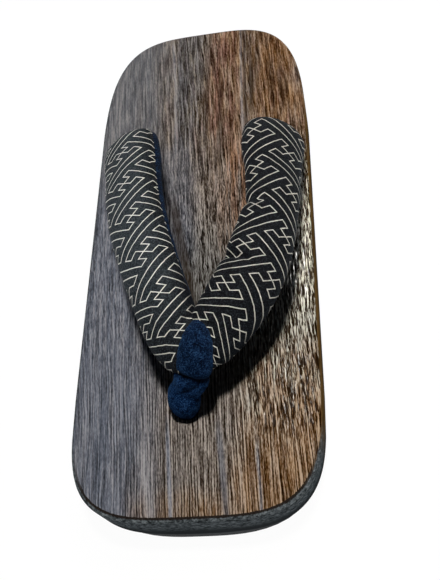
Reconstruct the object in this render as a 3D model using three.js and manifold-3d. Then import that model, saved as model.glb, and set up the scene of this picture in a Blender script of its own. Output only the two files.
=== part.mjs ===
// A geta: a low wooden sandal with a padded V strap, held by a thong between the first two toes.
// Millimetres, +Z up. The toe points to -Y and the heel to +Y.
// The origin is on the floor, under the middle of the board.
import * as THREE from "three";
import { mergeVertices } from "three/addons/utils/BufferGeometryUtils.js";
import Module from "manifold-3d";

const wasm = await Module();
wasm.setup();

// Driving dimensions of the board
const LENGTH = 250;
const TOE_WIDTH = 102;
const HEEL_WIDTH = 100;
const TOE_ROUND = 52; // length of the rounded toe end
const HEEL_ROUND = 90; // length of the rounded heel end
const CORNER_POWER = 3.75; // superellipse power of both ends, seen from above
const WALL_POWER = 3.4; // the same ends at the foot of the upright band, a little rounder
const FOOT_POWER = 3; // the same ends where they meet the sole, rounder still
const TOE_TOP = 26; // height of the top at the toe tip
const HEEL_TOP = 40; // height of the top at the heel tip
const EDGE_ROUND = 2; // rounding of the top edge
const WALL_HEIGHT = 15; // upright band of the side, below the top
const WALL_TAPER = 0.2; // how far the side draws in below that band, per mm of height

// Driving dimensions of the underside
const SOLE = 5.2; // thickness of the rubber
const GAP = 0.3; // clearance between pieces that touch
const SOLE_INSET = 0.6; // the rubber stops this far inside the wood
const TOE_SPRING = { start: -92, length: 33, rise: 4 };
const HEEL_BEVEL = { start: 113, length: 12, rise: 1.6 };
const ARCH = { front: -4, back: 58, ramp: 16, rise: 8 };
const SOLE_END = 2; // bare wood between a sole's straight end and the arch

// Holes for the thong and the straps, in the frame of the top: x, y from the toe tip, z above the wood.
// Below its depth a hole opens into a recess for the knot.
const HOLE_RADIUS = 5;
const RECESS_RADIUS = 10.5;
const FRONT_HOLE = { x: -2.5, y: 45, depth: 13 };
const INNER_HOLE = { x: -33.5, y: 168.5, depth: 14 };
const OUTER_HOLE = { x: 33.5, y: 168.5, depth: 14 };
const CORD = 9; // thickness of a strap or thong inside its hole
const HOLE_MOUTH = 0.5; // height above the wood at which a cord begins to widen
const KNOT = { width: 16, height: 8, neck: 0.8 };

// Facets
const HALF_OUTLINE_STEPS = 76;
const HOLE_SIDES = 28;
const SECTION_SIDES = 22;
const STRAP_STEPS = 44;
const THONG_STEPS = 36;

// The section of a strap is an oval, and its lower half is this much flatter than its upper half.
const UNDERSIDE = 0.67;

const SLOPE = (HEEL_TOP - TOE_TOP) / LENGTH;
const TOE_TIP = -LENGTH / 2;

// Rows shared by every cord: its knot, then its way up through the hole.
function cordRows({ x, y, depth }) {
  return [
    { x, y, z: -depth - KNOT.height, width: KNOT.width / 2, thick: KNOT.width / 2, roll: 0 },
    { x, y, z: -depth - KNOT.height / 2, width: KNOT.width, thick: KNOT.width, roll: 0 },
    { x, y, z: -depth - KNOT.neck, width: CORD, thick: CORD, roll: 0 },
    { x, y, z: -depth / 2, width: CORD, thick: CORD, roll: 0 },
    { x, y, z: HOLE_MOUTH, width: CORD, thick: CORD, roll: 0 },
  ];
}

// Strap on the big toe's side, from its hole to the V, in the frame of the top.
// Roll is in degrees: a positive roll lowers the edge that faces +X.
const INNER_STRAP = [
  ...cordRows(INNER_HOLE),
  { x: -33.3, y: 168.5, z: 5.5, width: 16, thick: 13.8, roll: -6 },
  { x: -31.4, y: 167.5, z: 11.5, width: 24, thick: 16.2, roll: -12 },
  { x: -28.2, y: 163.5, z: 17.5, width: 28, thick: 16.8, roll: -16 },
  { x: -25, y: 152, z: 22, width: 29, thick: 16.8, roll: -19 },
  { x: -21.9, y: 133, z: 26.5, width: 28.8, thick: 16.2, roll: -20 },
  { x: -17.9, y: 114, z: 30, width: 27.4, thick: 15.6, roll: -20 },
  { x: -12.4, y: 96, z: 32, width: 26, thick: 15.6, roll: -20 },
  { x: -7.8, y: 83.5, z: 32.5, width: 25, thick: 15.6, roll: -19 },
  { x: -4, y: 72, z: 31, width: 24.6, thick: 15.6, roll: -18 },
  { x: -0.8, y: 62.5, z: 27.8, width: 22.5, thick: 15, roll: -16 },
  { x: 2, y: 56, z: 24.2, width: 17.5, thick: 13.2, roll: -12 },
  { x: 4, y: 52.6, z: 21.4, width: 9, thick: 9.6, roll: -6 },
];

// Strap on the little toes' side. It bows outwards before it turns in to the V.
const OUTER_STRAP = [
  ...cordRows(OUTER_HOLE),
  { x: 33.7, y: 168.5, z: 5.5, width: 16, thick: 13.8, roll: 8 },
  { x: 35.8, y: 167, z: 11, width: 24.6, thick: 16.2, roll: 16 },
  { x: 36.8, y: 162, z: 16.5, width: 28.4, thick: 16.8, roll: 22 },
  { x: 36.9, y: 150, z: 21.5, width: 27.8, thick: 16.2, roll: 26 },
  { x: 37.5, y: 133, z: 26, width: 24.2, thick: 16.2, roll: 27 },
  { x: 37.4, y: 118, z: 29.5, width: 22.6, thick: 16.2, roll: 26 },
  { x: 35.4, y: 105, z: 31.8, width: 24.2, thick: 15.6, roll: 25 },
  { x: 32.4, y: 93, z: 32.8, width: 25.6, thick: 15.6, roll: 24 },
  { x: 27.6, y: 81.5, z: 32, width: 25.8, thick: 15.6, roll: 23 },
  { x: 21.2, y: 72, z: 30, width: 25.2, thick: 15.6, roll: 22 },
  { x: 14.2, y: 63.5, z: 27, width: 22.8, thick: 15, roll: 20 },
  { x: 9.4, y: 57, z: 24.2, width: 18, thick: 13.2, roll: 16 },
  { x: 7.2, y: 53, z: 21.4, width: 9, thick: 9.6, roll: 8 },
];

// Thong: up from its hole, over the nose of the V and into the crease between the straps.
const THONG = [
  ...cordRows(FRONT_HOLE),
  { x: -2.4, y: 45, z: 5.5, width: 13, thick: 11.4, roll: 0 },
  { x: -1.2, y: 46.2, z: 10.5, width: 13.4, thick: 11, roll: 0 },
  { x: 1, y: 48, z: 15, width: 12.2, thick: 10, roll: 0 },
  { x: 3.4, y: 48.6, z: 20, width: 14, thick: 10, roll: 0 },
  { x: 6.4, y: 51, z: 26.5, width: 14.8, thick: 10.4, roll: 0 },
  { x: 8, y: 55.4, z: 31.4, width: 14, thick: 10.2, roll: 0 },
  { x: 8.8, y: 60.6, z: 34, width: 10.8, thick: 9, roll: 0 },
  { x: 9, y: 65, z: 33, width: 7.4, thick: 6.8, roll: 0 },
  { x: 9, y: 67.5, z: 29, width: 5.5, thick: 5, roll: 0 },
];

const COLOURS = {
  wood: { color: 0x4a3526, roughness: 0.45, metalness: 0 },
  rubber: { color: 0x17181a, roughness: 0.85, metalness: 0 },
  cotton: { color: 0x1d232e, roughness: 0.9, metalness: 0 },
  velvet: { color: 0x12264a, roughness: 0.95, metalness: 0 },
};

const lerp = THREE.MathUtils.lerp;

// Height of the board's top at a place along it.
function topHeight(y) {
  return lerp(TOE_TOP, HEEL_TOP, (y - TOE_TIP) / LENGTH);
}

// How far the sole curves up off the floor at its two ends.
function endLift(y) {
  const toe = Math.max(0, (TOE_SPRING.start - y) / TOE_SPRING.length);
  const heel = Math.max(0, (y - HEEL_BEVEL.start) / HEEL_BEVEL.length);
  return TOE_SPRING.rise * toe ** 2 + HEEL_BEVEL.rise * heel ** 2;
}

// How far the arch is hollowed out above the sole's top face.
function archLift(y) {
  const front = THREE.MathUtils.smoothstep(y, ARCH.front, ARCH.front + ARCH.ramp);
  const back = 1 - THREE.MathUtils.smoothstep(y, ARCH.back - ARCH.ramp, ARCH.back);
  return ARCH.rise * front * back;
}

function woodBottom(y) {
  return SOLE + GAP + endLift(y) + archLift(y);
}

// A point of the right half of the outline.
// u runs 0 to 1 round the toe, 1 to 2 along the side and 2 to 3 round the heel.
function outlinePoint(u, inset, power) {
  const toeHalf = TOE_WIDTH / 2 - inset;
  const heelHalf = HEEL_WIDTH / 2 - inset;
  const toeMiddle = TOE_TIP + TOE_ROUND;
  const heelMiddle = LENGTH / 2 - HEEL_ROUND;
  const bend = 2 / power;
  if (u < 1) {
    const turn = (u * Math.PI) / 2;
    return {
      x: toeHalf * Math.sin(turn) ** bend,
      y: toeMiddle - (TOE_ROUND - inset) * Math.cos(turn) ** bend,
    };
  }
  if (u < 2) {
    return { x: lerp(toeHalf, heelHalf, u - 1), y: lerp(toeMiddle, heelMiddle, u - 1) };
  }
  const turn = (Math.min(u - 2, 1) * Math.PI) / 2;
  return {
    x: heelHalf * Math.abs(Math.cos(turn)) ** bend,
    y: heelMiddle + (HEEL_ROUND - inset) * Math.sin(turn) ** bend,
  };
}

// A point of the outline where the board meets its sole, drawn in below the upright band.
function footPoint(u, inset) {
  const { y } = outlinePoint(u, 0, FOOT_POWER);
  const drop = topHeight(y) - WALL_HEIGHT - woodBottom(y);
  return outlinePoint(u, inset + WALL_TAPER * drop, FOOT_POWER);
}

// Places u that lie evenly along the outline, from toe tip to heel tip.
function evenPlaces(count) {
  const fine = 6000;
  const lengths = [0];
  let last = outlinePoint(0, 0, CORNER_POWER);
  for (let i = 1; i <= fine; i++) {
    const point = outlinePoint((3 * i) / fine, 0, CORNER_POWER);
    lengths.push(lengths[i - 1] + Math.hypot(point.x - last.x, point.y - last.y));
    last = point;
  }
  const places = [];
  let at = 0;
  for (let k = 0; k <= count; k++) {
    while (at < fine && lengths[at] < (lengths[fine] * k) / count) at++;
    places.push((3 * at) / fine);
  }
  return places;
}

// Merges shared corners, drops triangles that have collapsed, and gives a solid.
function solidOf(positions, triangles) {
  const geometry = new THREE.BufferGeometry();
  geometry.setAttribute("position", new THREE.Float32BufferAttribute(positions, 3));
  geometry.setIndex(triangles);
  const merged = mergeVertices(geometry, 1e-4);
  const kept = [];
  for (let i = 0; i < merged.index.count; i += 3) {
    const [a, b, c] = merged.index.array.slice(i, i + 3);
    if (a !== b && b !== c && c !== a) kept.push(a, b, c);
  }
  return new wasm.Manifold(
    new wasm.Mesh({
      numProp: 3,
      vertProperties: merged.attributes.position.array,
      triVerts: new Uint32Array(kept),
    }),
  );
}

// The solid between stacked rings, top ring first. A ring holds the points of the right half, toe to heel,
// and its left half is the mirror image, so each end face is a ladder of level rungs.
function ringSolid(rings) {
  const half = rings[0].length;
  const loop = 2 * half;
  const positions = [];
  for (const ring of rings) {
    for (const p of ring) positions.push(p.x, p.y, p.z);
    for (const p of [...ring].reverse()) positions.push(-p.x, p.y, p.z);
  }
  const triangles = [];
  for (let r = 0; r + 1 < rings.length; r++) {
    for (let i = 0; i < loop; i++) {
      const upper = r * loop + i;
      const upperNext = r * loop + ((i + 1) % loop);
      triangles.push(upper, upper + loop, upperNext + loop);
      triangles.push(upper, upperNext + loop, upperNext);
    }
  }
  const base = (rings.length - 1) * loop;
  for (let i = 0; i + 1 < half; i++) {
    const left = loop - 1 - i;
    triangles.push(i, i + 1, left - 1, i, left - 1, left);
    triangles.push(base + i, base + left - 1, base + i + 1, base + i, base + left, base + left - 1);
  }
  return solidOf(positions, triangles);
}

// An upright or slanted round bar as a solid, from its matrix: its axis is local Z, from z = 0 to its height.
function bar(radius, height, matrix) {
  const geometry = new THREE.CylinderGeometry(radius, radius, height, HOLE_SIDES);
  geometry.rotateX(Math.PI / 2);
  geometry.translate(0, 0, height / 2);
  geometry.applyMatrix4(matrix);
  geometry.deleteAttribute("normal");
  geometry.deleteAttribute("uv");
  return solidOf([...geometry.attributes.position.array], [...geometry.index.array]);
}

// The frame of the board's top: origin at the toe tip, y along the wood, z square to it.
const deck = new THREE.Group();
deck.position.set(0, TOE_TIP, TOE_TOP);
deck.rotation.x = Math.atan(SLOPE);
deck.updateMatrix();

// A bar bored from above the top down through the board, and the recess for the knot below it.
function knotHole(hole) {
  const reach = 60; // longer than the board is thick
  const from = (z) => new THREE.Matrix4().makeTranslation(hole.x, hole.y, z).premultiply(deck.matrix);
  const drill = bar(HOLE_RADIUS, 2 * reach, from(-reach));
  return drill.add(bar(RECESS_RADIUS, reach, from(-hole.depth - reach)));
}

function boardSolid() {
  const places = evenPlaces(HALF_OUTLINE_STEPS);
  const topRing = (inset, depth, power) =>
    places.map((u) => {
      const p = outlinePoint(u, inset, power);
      return { ...p, z: topHeight(p.y) - depth };
    });
  const edgeRings = [0, 30, 60, 90].map((degrees) => {
    const turn = THREE.MathUtils.degToRad(degrees);
    return topRing(EDGE_ROUND * (1 - Math.sin(turn)), EDGE_ROUND * (1 - Math.cos(turn)), CORNER_POWER);
  });
  const footRing = places.map((u) => {
    const p = footPoint(u, 0);
    return { ...p, z: woodBottom(p.y) };
  });
  return ringSolid([...edgeRings, topRing(0, WALL_HEIGHT, WALL_POWER), footRing])
    .subtract(knotHole(FRONT_HOLE))
    .subtract(knotHole(INNER_HOLE))
    .subtract(knotHole(OUTER_HOLE));
}

// One rubber sole: the part of the board's foot outline between two places along it.
function soleSolid(from, to) {
  const outline = evenPlaces(HALF_OUTLINE_STEPS)
    .map((u) => footPoint(u, SOLE_INSET))
    .filter((p) => p.y > from && p.y < to);
  if (from > TOE_TIP) outline.unshift({ x: outline[0].x, y: from });
  if (to < LENGTH / 2) outline.push({ x: outline[outline.length - 1].x, y: to });
  const ring = (height) => outline.map((p) => ({ ...p, z: height + endLift(p.y) }));
  return ringSolid([ring(SOLE), ring(0)]);
}

// A padded bar swept along the rows of a table.
// Under flattens its lower half, and grow makes it fatter all round.
function sweep(rows, steps, under, grow) {
  const path = new THREE.CatmullRomCurve3(rows.map((r) => new THREE.Vector3(r.x, r.y, r.z)));
  const sizes = new THREE.CatmullRomCurve3(
    rows.map((r) => new THREE.Vector3(r.width, r.thick, r.roll)),
    false,
    "catmullrom",
  );
  const first = rows[0];
  const last = rows[rows.length - 1];
  const across = new THREE.Vector3(first.y - last.y, last.x - first.x, 0);
  if (across.x < 0) across.negate();
  const positions = [];
  const triangles = [];
  for (let s = 0; s <= steps; s++) {
    const centre = path.getPoint(s / steps);
    const along = path.getTangent(s / steps);
    const size = sizes.getPoint(s / steps);
    const side = across.clone().addScaledVector(along, -across.dot(along)).normalize();
    const face = along.clone().cross(side);
    const roll = THREE.MathUtils.degToRad(size.z);
    const wide = side.clone().multiplyScalar(Math.cos(roll)).addScaledVector(face, -Math.sin(roll));
    const tall = face.clone().multiplyScalar(Math.cos(roll)).addScaledVector(side, Math.sin(roll));
    for (let k = 0; k < SECTION_SIDES; k++) {
      const turn = (2 * Math.PI * k) / SECTION_SIDES;
      const w = (size.x / 2 + grow) * Math.cos(turn);
      const t = (size.y / 2 + grow) * Math.sin(turn);
      const p = centre.clone().addScaledVector(wide, w).addScaledVector(tall, t < 0 ? t * under : t);
      positions.push(p.x, p.y, p.z);
    }
  }
  for (let s = 0; s < steps; s++) {
    for (let k = 0; k < SECTION_SIDES; k++) {
      const a = s * SECTION_SIDES + k;
      const b = s * SECTION_SIDES + ((k + 1) % SECTION_SIDES);
      triangles.push(a, b, b + SECTION_SIDES, a, b + SECTION_SIDES, a + SECTION_SIDES);
    }
  }
  for (const [s, facing] of [[0, -1], [steps, 1]]) {
    const centre = path.getPoint(s / steps);
    const hub = positions.length / 3;
    positions.push(centre.x, centre.y, centre.z);
    for (let k = 0; k < SECTION_SIDES; k++) {
      const a = s * SECTION_SIDES + k;
      const b = s * SECTION_SIDES + ((k + 1) % SECTION_SIDES);
      triangles.push(hub, ...(facing > 0 ? [a, b] : [b, a]));
    }
  }
  return solidOf(positions, triangles);
}

// Both straps, joined where they meet under the thong.
function strapsSolid(grow) {
  const inner = sweep(INNER_STRAP, STRAP_STEPS, UNDERSIDE, grow);
  return inner.add(sweep(OUTER_STRAP, STRAP_STEPS, UNDERSIDE, grow));
}

// The thong, hollowed to sit over the V.
function thongSolid() {
  return sweep(THONG, THONG_STEPS, 1, 0).subtract(strapsSolid(GAP));
}

function meshOf(name, solid, look) {
  const made = solid.getMesh();
  const geometry = new THREE.BufferGeometry();
  geometry.setAttribute("position", new THREE.BufferAttribute(new Float32Array(made.vertProperties), 3));
  geometry.setIndex(new THREE.BufferAttribute(new Uint32Array(made.triVerts), 1));
  geometry.computeVertexNormals();
  const mesh = new THREE.Mesh(geometry, new THREE.MeshStandardMaterial(look));
  mesh.name = name;
  return mesh;
}

const geta = new THREE.Group();
geta.name = "geta";

const frontSole = soleSolid(TOE_TIP, ARCH.front - SOLE_END).subtract(knotHole(FRONT_HOLE));
geta.add(meshOf("wooden_board", boardSolid(), COLOURS.wood));
geta.add(meshOf("forefoot_sole", frontSole, COLOURS.rubber));
geta.add(meshOf("heel_sole", soleSolid(ARCH.back + SOLE_END, LENGTH / 2), COLOURS.rubber));

deck.add(meshOf("padded_straps", strapsSolid(0), COLOURS.cotton));
deck.add(meshOf("toe_thong", thongSolid(), COLOURS.velvet));
geta.add(deck);

export default geta;
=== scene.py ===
"""Looks of a left geta: burnt and brushed wood, a padded cotton V strap and a velvet thong.

Sizes in this script are millimetres. The deck frame is the frame of the board's top:
x across, y along the wood from the toe tip, z square to it.
"""

import math
from types import SimpleNamespace

import bpy
import numpy as np
from mathutils import Matrix, Vector, kdtree


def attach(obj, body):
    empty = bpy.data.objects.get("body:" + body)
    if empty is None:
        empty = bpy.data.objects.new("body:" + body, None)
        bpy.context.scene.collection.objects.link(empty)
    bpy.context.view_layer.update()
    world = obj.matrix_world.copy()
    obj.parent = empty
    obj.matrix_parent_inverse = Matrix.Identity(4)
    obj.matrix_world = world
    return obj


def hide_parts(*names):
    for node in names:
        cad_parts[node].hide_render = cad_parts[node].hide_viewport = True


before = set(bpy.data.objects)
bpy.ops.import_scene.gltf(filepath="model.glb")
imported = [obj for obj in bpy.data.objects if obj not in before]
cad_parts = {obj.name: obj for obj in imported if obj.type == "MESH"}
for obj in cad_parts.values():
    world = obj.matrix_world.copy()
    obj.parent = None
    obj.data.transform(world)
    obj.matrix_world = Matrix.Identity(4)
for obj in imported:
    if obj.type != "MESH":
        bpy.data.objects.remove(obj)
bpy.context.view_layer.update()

# The board, as in the CAD
LENGTH = 250
TOE_WIDTH, HEEL_WIDTH = 102, 100
TOE_ROUND, HEEL_ROUND = 52, 90
CORNER_POWER, WALL_POWER, FOOT_POWER = 3.75, 3.4, 3
TOE_TOP, HEEL_TOP = 26, 40
EDGE_ROUND = 2
WALL_HEIGHT = 15
WALL_TAPER = 0.2
SOLE, GAP = 5.2, 0.3
TOE_SPRING = (-92, 33, 4)
HEEL_BEVEL = (113, 12, 1.6)
ARCH = (-4, 58, 16, 8)
HOLE_RADIUS, RECESS_RADIUS = 5, 10.5
FRONT_HOLE = (-2.5, 45, 13)
INNER_HOLE = (-33.5, 168.5, 14)
OUTER_HOLE = (33.5, 168.5, 14)
UNDERSIDE = 0.67
TOE_TIP = -LENGTH / 2
SLOPE = math.atan((HEEL_TOP - TOE_TOP) / LENGTH)

# How fine the visible meshes are
BOARD_ROWS = 130
BOARD_COLUMNS = 400
ROUNDING_STEP = 15  # degrees
UPPER_RINGS, LOWER_RINGS = 7, 3
OUTLINE_STEPS, RIM_POINTS, CURVE_STEPS = 12000, 4000, 4000
DRILL_SIDES = 64
STRAP_STEP = 0.6
STRAP_SIDES = 88
THONG_STEP = 0.45
THONG_SIDES = 84

DECK = np.array(
    [
        [1, 0, 0],
        [0, math.cos(SLOPE), -math.sin(SLOPE)],
        [0, math.sin(SLOPE), math.cos(SLOPE)],
    ]
)
DECK_ORIGIN = np.array([0, TOE_TIP, TOE_TOP])


def to_world(points):
    return np.asarray(points, float) @ DECK.T + DECK_ORIGIN


def to_deck(points):
    return (np.asarray(points, float) - DECK_ORIGIN) @ DECK


def smooth(low, high, value):
    t = np.clip((np.asarray(value, float) - low) / (high - low), 0, 1)
    return t * t * (3 - 2 * t)


# Camera
PICTURE_TALL = 580  # pixels
FOCAL = 859  # pixels
CAMERA_RISE, CAMERA_TURN, CAMERA_ROLL = (math.radians(d) for d in (58.6, 21.0, -23.4))
CAMERA_AWAY = 366
CAMERA_AIM = np.array([10.05, 97.8, 0])


def make_camera():
    back = np.array(
        [
            math.sin(CAMERA_TURN) * math.cos(CAMERA_RISE),
            -math.cos(CAMERA_TURN) * math.cos(CAMERA_RISE),
            math.sin(CAMERA_RISE),
        ]
    )
    level = np.cross(-back, [0, 0, 1])
    level /= np.linalg.norm(level)
    upright = np.cross(level, -back)
    right = math.cos(CAMERA_ROLL) * level + math.sin(CAMERA_ROLL) * upright
    up = -math.sin(CAMERA_ROLL) * level + math.cos(CAMERA_ROLL) * upright
    data = bpy.data.cameras.new("camera")
    data.sensor_width = 36
    data.lens = FOCAL / PICTURE_TALL * data.sensor_width
    data.clip_start, data.clip_end = 0.01, 20
    camera = bpy.data.objects.new("camera", data)
    turned = (DECK @ np.stack([right, up, back], 1)).tolist()
    matrix = Matrix(turned).to_4x4()
    matrix.translation = Vector(to_world(CAMERA_AIM + back * CAMERA_AWAY) / 1000)
    camera.matrix_world = matrix
    bpy.context.scene.collection.objects.link(camera)
    bpy.context.scene.camera = camera


# Light: a lamp overhead, a broad cool sky on the big toe's side and a window behind the heel
# that only glint, and a dim room
LAMPS = [
    # name, place, target, width, height, watts, colour, glint only
    ("overhead", (0.115, -0.025, 0.86), (0.01, 0, 0.03), 0.09, 0.09, 7.7, (1.0, 0.97, 0.93), False),
    ("sky", (-0.36, 0.36, 0.60), (-0.36, 0.361, 0), 0.40, 0.75, 1.8, (0.60, 0.79, 1.0), True),
    ("rear_window", (0.24, 0.26, 0.68), (0.24, 0.261, 0), 0.36, 0.32, 31.0, (1.0, 0.99, 0.94), True),
]
ROOM = ((0.86, 0.93, 1.0), 0.025)


def make_light():
    for name, place, target, width, height, watts, colour, glint in LAMPS:
        data = bpy.data.lights.new(name, "AREA")
        data.shape = "RECTANGLE"
        data.size, data.size_y = width, height
        data.energy = watts
        data.color = colour
        lamp = bpy.data.objects.new(name, data)
        lamp.location = place
        lamp.rotation_euler = (Vector(target) - Vector(place)).to_track_quat("-Z", "Y").to_euler()
        lamp.visible_diffuse = not glint
        bpy.context.scene.collection.objects.link(lamp)
    world = bpy.data.worlds.new("room")
    world.use_nodes = True
    background = world.node_tree.nodes["Background"]
    background.inputs["Color"].default_value = (*ROOM[0], 1)
    background.inputs["Strength"].default_value = ROOM[1]
    bpy.context.scene.world = world
    bpy.context.scene.view_settings.view_transform = "Standard"


# Shader nodes
class Value:
    """A number inside a material, with ordinary arithmetic."""

    def __init__(self, nodes, socket):
        self.nodes, self.socket = nodes, socket

    def apply(self, operation, *others):
        return self.nodes.math(operation, self, *others)

    def __add__(self, other):
        return self.apply("ADD", other)

    def __sub__(self, other):
        return self.apply("SUBTRACT", other)

    def __rsub__(self, other):
        return self.nodes.math("SUBTRACT", other, self)

    def __mul__(self, other):
        return self.apply("MULTIPLY", other)

    __radd__, __rmul__ = __add__, __mul__

    def __truediv__(self, other):
        return self.apply("DIVIDE", other)

    def __lt__(self, other):
        return self.apply("LESS_THAN", other)

    def __gt__(self, other):
        return self.apply("GREATER_THAN", other)


class Nodes:
    """Builds one material."""

    def __init__(self, name):
        self.material = bpy.data.materials.new(name)
        self.material.use_nodes = True
        self.tree = self.material.node_tree
        self.tree.nodes.clear()
        output = self.tree.nodes.new("ShaderNodeOutputMaterial")
        self.shader = self.tree.nodes.new("ShaderNodeBsdfPrincipled")
        self.tree.links.new(self.shader.outputs[0], output.inputs["Surface"])

    def node(self, kind, **settings):
        made = self.tree.nodes.new(kind)
        for key, value in settings.items():
            setattr(made, key, value)
        return made

    def put(self, socket, value):
        value = getattr(value, "socket", value)
        if hasattr(value, "is_linked"):
            self.tree.links.new(value, socket)
        else:
            socket.default_value = value

    def math(self, operation, *values):
        made = self.node("ShaderNodeMath", operation=operation)
        for socket, value in zip(made.inputs, values):
            self.put(socket, value)
        return Value(self, made.outputs[0])

    def attribute(self, name):
        return Value(self, self.node("ShaderNodeAttribute", attribute_name=name).outputs["Fac"])

    def place(self, scale=(1, 1, 1)):
        """Position in millimetres, times a scale along each axis."""
        where = self.node("ShaderNodeTexCoord").outputs["Object"]
        mapping = self.node("ShaderNodeMapping")
        self.put(mapping.inputs["Vector"], where)
        mapping.inputs["Scale"].default_value = [1000 * s for s in scale]
        return mapping.outputs[0]

    def join(self, x, y, z):
        made = self.node("ShaderNodeCombineXYZ")
        for socket, value in zip(made.inputs, (x, y, z)):
            self.put(socket, value)
        return made.outputs[0]

    def noise(self, vector, scale=1.0, detail=2.0, rough=0.5):
        made = self.node("ShaderNodeTexNoise")
        self.put(made.inputs["Vector"], vector)
        made.inputs["Scale"].default_value = scale
        made.inputs["Detail"].default_value = detail
        made.inputs["Roughness"].default_value = rough
        return Value(self, made.outputs[0])

    def ramp(self, value, *stops):
        made = self.node("ShaderNodeValToRGB")
        self.put(made.inputs[0], value)
        elements = made.color_ramp.elements
        while len(elements) < len(stops):
            elements.new(0.5)
        for element, (position, colour) in zip(elements, stops):
            element.position = position
            element.color = (*colour, 1)
        return made.outputs[0]

    def mix(self, share, first, second, blend="MIX"):
        made = self.node("ShaderNodeMix", data_type="RGBA", blend_type=blend)
        self.put(made.inputs["Factor"], share)
        for socket, value in zip((made.inputs[6], made.inputs[7]), (first, second)):
            self.put(socket, (*value, 1) if isinstance(value, tuple) else value)
        return made.outputs[2]

    def tint(self, share, colour, factor):
        return self.mix(share, colour, factor, "MULTIPLY")

    def most(self, first, second):
        return self.math("MAXIMUM", first, second)

    def split(self, vector):
        made = self.node("ShaderNodeSeparateXYZ")
        self.put(made.inputs[0], vector)
        return [Value(self, output) for output in made.outputs]

    def step(self, low, high, value):
        made = self.node("ShaderNodeMapRange", interpolation_type="SMOOTHSTEP")
        self.put(made.inputs["Value"], value)
        self.put(made.inputs["From Min"], low)
        self.put(made.inputs["From Max"], high)
        return Value(self, made.outputs[0])

    def bump(self, height, distance, strength):
        made = self.node("ShaderNodeBump")
        self.put(made.inputs["Height"], height)
        made.inputs["Distance"].default_value = distance / 1000
        made.inputs["Strength"].default_value = strength
        return made.outputs[0]

    def set(self, **values):
        for key, value in values.items():
            socket = self.shader.inputs[key.replace("_", " ")]
            self.put(socket, (*value, 1) if isinstance(value, tuple) else value)
        return self.material


# Meshes
def make_object(name, points, faces):
    mesh = bpy.data.meshes.new(name)
    mesh.from_pydata((np.asarray(points) / 1000).tolist(), [], faces)
    mesh.polygons.foreach_set("use_smooth", [True] * len(mesh.polygons))
    made = bpy.data.objects.new(name, mesh)
    bpy.context.scene.collection.objects.link(made)
    return made


def give(mesh, name, values):
    layer = mesh.attributes.get(name) or mesh.attributes.new(name, "FLOAT", "POINT")
    layer.data.foreach_set("value", np.asarray(values, np.float32))


def points_of(mesh):
    flat = np.zeros(3 * len(mesh.vertices), np.float32)
    mesh.vertices.foreach_get("co", flat)
    return flat.reshape(-1, 3).astype(float) * 1000


def put_points(mesh, points):
    mesh.vertices.foreach_set("co", (np.asarray(points) / 1000).astype(np.float32).ravel())
    mesh.update()


# Repeatable smooth noise from 0 to 1 over whole-number cells
def chance(i, j, seed):
    n = (i * 374761393 + j * 668265263 + seed * 982451653) & 0xFFFFFFFF
    n = ((n ^ (n >> 13)) * 1274126177) & 0xFFFFFFFF
    n = ((n ^ (n >> 15)) * 2246822519) & 0xFFFFFFFF
    return ((n ^ (n >> 16)) & 0xFFFFFF) / 0xFFFFFF


def noise(x, y, seed):
    x, y = np.broadcast_arrays(np.asarray(x, float), np.asarray(y, float))
    i, j = np.floor(x).astype(np.int64), np.floor(y).astype(np.int64)
    u, v = x - i, y - j
    u, v = u * u * (3 - 2 * u), v * v * (3 - 2 * v)
    low = chance(i, j, seed) * (1 - u) + chance(i + 1, j, seed) * u
    high = chance(i, j + 1, seed) * (1 - u) + chance(i + 1, j + 1, seed) * u
    return low * (1 - v) + high * v


# Board outline
def top_height(y):
    return TOE_TOP + (HEEL_TOP - TOE_TOP) * (y - TOE_TIP) / LENGTH


def wood_bottom(y):
    toe = np.maximum(0, (TOE_SPRING[0] - y) / TOE_SPRING[1])
    heel = np.maximum(0, (y - HEEL_BEVEL[0]) / HEEL_BEVEL[1])
    front, back, ramp, rise = ARCH
    arch = rise * smooth(front, front + ramp, y) * (1 - smooth(back - ramp, back, y))
    return SOLE + GAP + TOE_SPRING[2] * toe**2 + HEEL_BEVEL[2] * heel**2 + arch


def outline(u, inset, power):
    """Points of the right half of the outline.

    u is 0 to 1 round the toe, 1 to 2 along the side and 2 to 3 round the heel.
    """
    u = np.asarray(u, float)
    toe_half = TOE_WIDTH / 2 - inset
    heel_half = HEEL_WIDTH / 2 - inset
    toe_middle = TOE_TIP + TOE_ROUND
    heel_middle = LENGTH / 2 - HEEL_ROUND
    bend = 2 / power
    toe = np.clip(u, 0, 1) * math.pi / 2
    side = np.clip(u - 1, 0, 1)
    heel = np.clip(u - 2, 0, 1) * math.pi / 2
    x = np.where(
        u < 1,
        toe_half * np.sin(toe) ** bend,
        np.where(
            u < 2,
            toe_half + (heel_half - toe_half) * side,
            heel_half * np.abs(np.cos(heel)) ** bend,
        ),
    )
    y = np.where(
        u < 1,
        toe_middle - (TOE_ROUND - inset) * np.abs(np.cos(toe)) ** bend,
        np.where(
            u < 2,
            toe_middle + (heel_middle - toe_middle) * side,
            heel_middle + (HEEL_ROUND - inset) * np.sin(heel) ** bend,
        ),
    )
    return x, y


def even_places(count):
    """Places u that lie evenly along the half outline, half a step in from each tip."""
    fine = np.linspace(0, 3, OUTLINE_STEPS + 1)
    x, y = outline(fine, 0, CORNER_POWER)
    length = np.concatenate([[0], np.cumsum(np.hypot(np.diff(x), np.diff(y)))])
    return np.interp((np.arange(count) + 0.5) / count * length[-1], length, fine)


def foot_outline(u):
    _, y = outline(u, 0, FOOT_POWER)
    drop = top_height(y) - WALL_HEIGHT - wood_bottom(y)
    return outline(u, WALL_TAPER * drop, FOOT_POWER)


def top_ring(u, inset, depth, power):
    x, y = outline(u, inset, power)
    return np.stack([x, y, top_height(y) - depth], 1)


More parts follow.
